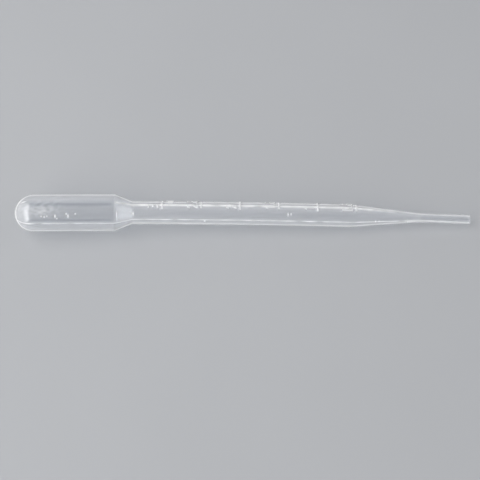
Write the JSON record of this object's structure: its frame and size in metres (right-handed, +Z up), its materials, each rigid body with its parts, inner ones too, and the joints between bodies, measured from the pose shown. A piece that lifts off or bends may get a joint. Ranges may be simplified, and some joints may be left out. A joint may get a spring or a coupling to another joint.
{
  "type": "dropper pipette",
  "caption": "One-piece blow-moulded dropper pipette with a squeeze bulb, a graduated stem and a drawn-down open tip.",
  "frame": {"origin": "centre of the base of the box that the pipette fills as it lies at rest, on the surface it lies on", "axes": "+X from the bulb's end towards the tip, +Z up, and +Y to the side that the graduation leans to"},
  "size_m": [0.155, 0.0126, 0.0135],
  "materials": {
    "polyethylene": "milky translucent, soft waxy sheen"
  },
  "bodies": {
    "root": {"pipette_body": "polyethylene"}
  },
  "joints": []
}
